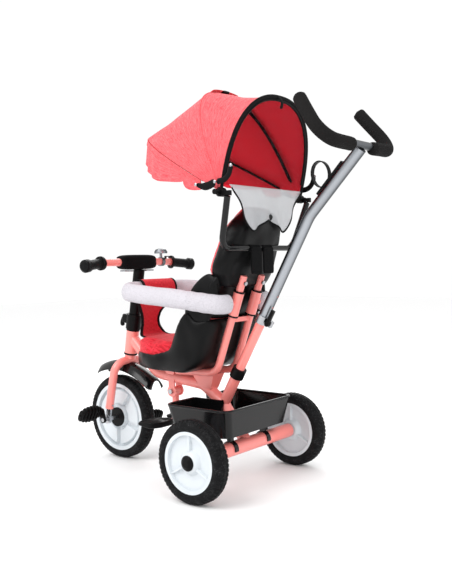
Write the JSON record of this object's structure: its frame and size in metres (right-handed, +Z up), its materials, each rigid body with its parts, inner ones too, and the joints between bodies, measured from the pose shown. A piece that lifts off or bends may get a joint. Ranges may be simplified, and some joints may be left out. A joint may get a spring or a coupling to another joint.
{
  "type": "children's tricycle",
  "caption": "Child's tricycle with a parent push handle, folding sun canopy, padded safety ring, footrest and rear basket.",
  "frame": {"origin": "middle of the whole tricycle's bounding box, on the floor", "axes": "+Z up; the front wheel is towards -Y and the push handle towards +Y; the tricycle's left side is +X"},
  "size_m": [0.489, 0.9742, 1.0272],
  "materials": {
    "pink_paint": "gloss powder coat",
    "white_plastic": "moulded, satin gloss",
    "tyre_foam": "moulded foam rubber, matt",
    "black_plastic": "moulded, fine grain",
    "bright_steel": "zinc plated",
    "silver_tube": "satin",
    "black_fabric": "woven, matt",
    "coral_fabric": "melange weave",
    "red_fabric": "woven, matt",
    "grey_fabric": "air mesh over foam",
    "foam": "closed cell foam, matt",
    "net": "sheer net"
  },
  "bodies": {
    "frame": {"main_frame": "pink_paint", "head_bearings": "black_plastic", "rear_axle_rod": "bright_steel", "pole_collar": "black_plastic", "pole_inner_tube": "pink_paint", "seat_frame": "pink_paint", "sleeve_rings": "black_plastic", "frame_bolts": "bright_steel", "seat_shell": "black_plastic", "seat_cushion": "red_fabric", "backrest_shell": "black_plastic", "backrest_pad": "coral_fabric", "backrest_tabs": "black_fabric", "canopy_u_frame": "black_plastic", "canopy_clamps": "black_plastic", "canopy_rear_bow": "black_plastic", "canopy_net": "net", "rear_basket": "black_plastic", "crotch_strap": "red_fabric", "canopy_rear_panel": "coral_fabric"},
    "steering": {"fork": "pink_paint", "fork_axle_brackets": "bright_steel", "fork_screws": "bright_steel", "mudguard": "black_plastic", "stem_collar": "black_plastic", "stem": "black_plastic", "handlebar": "pink_paint", "handlebar_pad": "black_fabric", "handlebar_grips": "black_plastic", "bell": "bright_steel"},
    "bell_lever": {"bell_lever": "black_plastic"},
    "front_wheel": {"front_disc": "white_plastic", "front_tyre": "tyre_foam", "front_hub_discs": "black_plastic", "front_axle": "bright_steel", "crank_arms": "black_plastic"},
    "left_pedal": {"left_pedal": "black_plastic"},
    "right_pedal": {"right_pedal": "black_plastic"},
    "left_rear_wheel": {"left_rear_disc": "white_plastic", "left_rear_tyre": "tyre_foam", "left_hub_cap": "black_plastic"},
    "right_rear_wheel": {"right_rear_disc": "white_plastic", "right_rear_tyre": "tyre_foam", "right_hub_cap": "black_plastic"},
    "footrest": {"footrest_bar": "pink_paint", "footrest_treads": "black_plastic"},
    "left_ring_half": {"left_ring_arm": "pink_paint", "left_ring_padding": "grey_fabric"},
    "right_ring_half": {"right_ring_arm": "pink_paint", "right_ring_padding": "grey_fabric"},
    "push_handle": {"push_handle_tube": "silver_tube", "foam_grips": "foam", "pole_clamp": "bright_steel", "bottle_holder": "black_plastic"},
    "clamp_lever": {"pole_clamp_lever": "black_plastic"},
    "canopy_mid": {"canopy_mid_bow": "black_plastic"},
    "canopy_front": {"canopy_front_bow": "black_plastic", "canopy_front_panel": "coral_fabric"},
    "upper_stays": {"upper_stays": "black_plastic"},
    "lower_stays": {"lower_stays": "black_plastic"}
  },
  "joints": [
    {"name": "steering_turn", "type": "hinge", "parent": "frame", "child": "steering", "pos_m": [0, -0.31783, 0.321], "axis": [0, 0.1822, 0.9833], "range_deg": [-40, 40]},
    {"name": "bell_lever_flick", "type": "hinge", "parent": "steering", "child": "bell_lever", "pos_m": [-0.104, -0.26332, 0.599], "axis": [0, 0, 1], "range_deg": [0, 25], "stiffness_Nm_per_rad": 0.02},
    {"name": "front_wheel_spin", "type": "hinge", "parent": "steering", "child": "front_wheel", "pos_m": [0, -0.36233, 0.125], "axis": [1, 0, 0], "continuous": true},
    {"name": "left_pedal_spin", "type": "hinge", "parent": "front_wheel", "child": "left_pedal", "pos_m": [0.077, -0.36905, 0.15011], "axis": [1, 0, 0], "continuous": true},
    {"name": "right_pedal_spin", "type": "hinge", "parent": "front_wheel", "child": "right_pedal", "pos_m": [-0.077, -0.3556, 0.09989], "axis": [1, 0, 0], "continuous": true},
    {"name": "left_rear_wheel_spin", "type": "hinge", "parent": "frame", "child": "left_rear_wheel", "pos_m": [0.216, 0.11568, 0.103], "axis": [1, 0, 0], "continuous": true},
    {"name": "right_rear_wheel_spin", "type": "hinge", "parent": "frame", "child": "right_rear_wheel", "pos_m": [-0.216, 0.11568, 0.103], "axis": [1, 0, 0], "continuous": true},
    {"name": "footrest_fold", "type": "hinge", "parent": "frame", "child": "footrest", "pos_m": [0, -0.13833, 0.222], "axis": [1, 0, 0], "range_deg": [0, 60]},
    {"name": "left_ring_open", "type": "hinge", "parent": "frame", "child": "left_ring_half", "pos_m": [0.038, 0.11939, 0.476], "axis": [0, 0.3551, 0.9348], "range_deg": [0, 75], "deforming": ["crotch_strap"]},
    {"name": "right_ring_open", "type": "hinge", "parent": "frame", "child": "right_ring_half", "pos_m": [-0.038, 0.11939, 0.476], "axis": [0, -0.3551, -0.9348], "range_deg": [0, 75]},
    {"name": "push_handle_slide", "type": "slide", "parent": "frame", "child": "push_handle", "axis": [0, 0.503, 0.8643], "range_m": [-0.08, 0.05]},
    {"name": "clamp_lever_open", "type": "hinge", "parent": "push_handle", "child": "clamp_lever", "pos_m": [0, 0.19779, 0.42351], "axis": [-1, 0, 0], "range_deg": [0, 80]},
    {"name": "canopy_mid_fold", "type": "hinge", "parent": "frame", "child": "canopy_mid", "pos_m": [0, 0.18568, 0.75], "axis": [-1, 0, 0], "range_deg": [0, 30], "deforming": ["canopy_rear_panel", "canopy_net"]},
    {"name": "canopy_front_fold", "type": "hinge", "parent": "canopy_mid", "child": "canopy_front", "pos_m": [0, 0.18568, 0.75], "axis": [-1, 0, 0], "range_deg": [0, 30], "deforming": ["canopy_front_panel"]},
    {"name": "upper_stay_turn", "type": "hinge", "parent": "frame", "child": "upper_stays", "pos_m": [0, 0.22667, 0.809], "axis": [-1, 0, 0], "range_deg": [-17.4, 0]},
    {"name": "lower_stay_turn", "type": "hinge", "parent": "upper_stays", "child": "lower_stays", "pos_m": [0, 0.18068, 0.774], "axis": [-1, 0, 0], "range_deg": [0, 88.5]}
  ],
  "couplings": [
    {"joint": "canopy_front_fold", "follows": "canopy_mid_fold", "ratio": 1},
    {"joint": "upper_stay_turn", "follows": "canopy_mid_fold", "ratio": -0.58},
    {"joint": "lower_stay_turn", "follows": "canopy_mid_fold", "ratio": 2.95}
  ]
}
